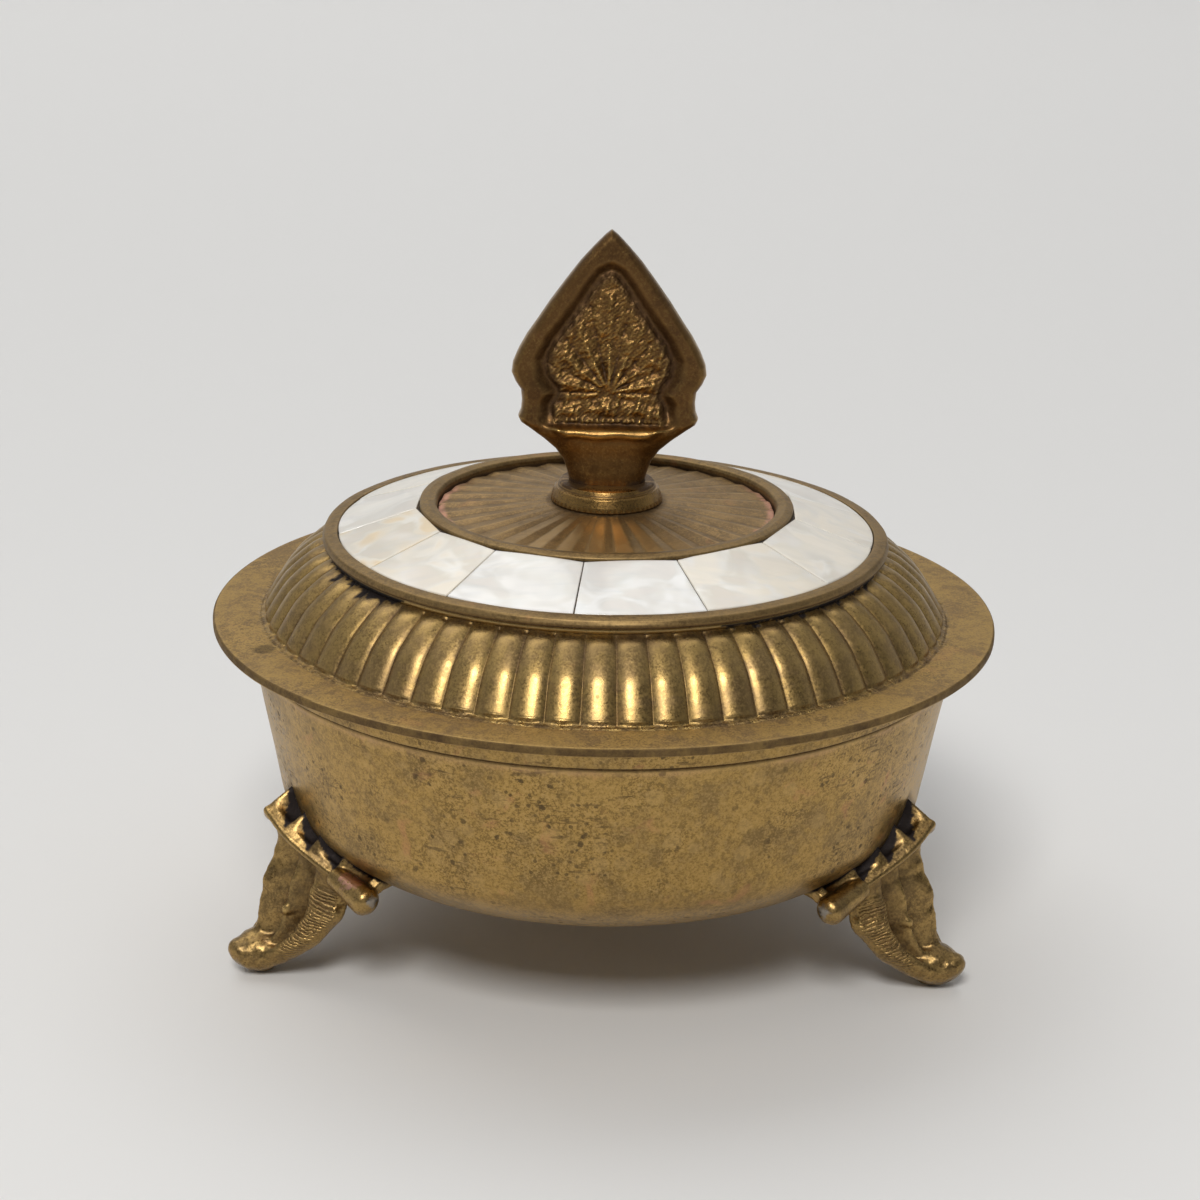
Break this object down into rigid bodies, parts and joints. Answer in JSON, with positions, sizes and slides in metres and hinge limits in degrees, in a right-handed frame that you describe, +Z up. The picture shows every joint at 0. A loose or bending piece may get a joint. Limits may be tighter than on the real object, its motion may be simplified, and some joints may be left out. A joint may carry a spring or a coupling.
{
  "type": "footed trinket box",
  "caption": "Round footed brass trinket box with a reeded lift-off lid, mother-of-pearl tile ring, sunburst centre and leaf-shaped finial.",
  "frame": {"origin": "on the box's axis, on the surface that its feet stand on", "axes": "+Z up along the box's axis, -Y towards the front, the side of the finial's flat face between two feet, +X to the viewer's right"},
  "size_m": [0.13, 0.1313, 0.1203],
  "materials": {
    "bowl_brass": "aged brass sheet, satin, mottled olive and gold with fine dark pits",
    "foot_brass": "cast brass, rubbed bright on the high parts, dark in the hollows",
    "lid_brass": "aged brass sheet, satin, brown-olive tarnish",
    "ring_brass": "dull brass strip",
    "tray_brass": "brass, rubbed edges, dark residue in the corners",
    "cement": "dark brown setting cement",
    "pearl": "polished mother-of-pearl, cream with pink and green sheen",
    "disc_brass": "pressed brass sheet, satin, tarnished in the folds",
    "collar_brass": "turned brass, satin",
    "finial_brass": "cast brass, rubbed bright, rough sunk panels",
    "fixing_brass": "plain brass"
  },
  "bodies": {
    "bowl": {"bowl": "bowl_brass", "foot_front_right": "foot_brass", "foot_back": "foot_brass", "foot_front_left": "foot_brass"},
    "lid": {"lid_shell": "lid_brass", "locating_ring": "ring_brass", "inlay_tray": "tray_brass", "inlay_cement": "cement", "pearl_tile_01": "pearl", "pearl_tile_02": "pearl", "pearl_tile_03": "pearl", "pearl_tile_04": "pearl", "pearl_tile_05": "pearl", "pearl_tile_06": "pearl", "pearl_tile_07": "pearl", "pearl_tile_08": "pearl", "pearl_tile_09": "pearl", "pearl_tile_10": "pearl", "pearl_tile_11": "pearl", "pearl_tile_12": "pearl", "pearl_tile_13": "pearl", "pearl_tile_14": "pearl", "sunburst_disc": "disc_brass", "finial_collar": "collar_brass", "finial": "finial_brass", "finial_washer": "fixing_brass", "finial_nut": "fixing_brass"}
  },
  "joints": [
    {"name": "lid_lift", "type": "slide", "parent": "bowl", "child": "lid", "axis": [0, 0, 1], "range_m": [0, 0.06]}
  ]
}
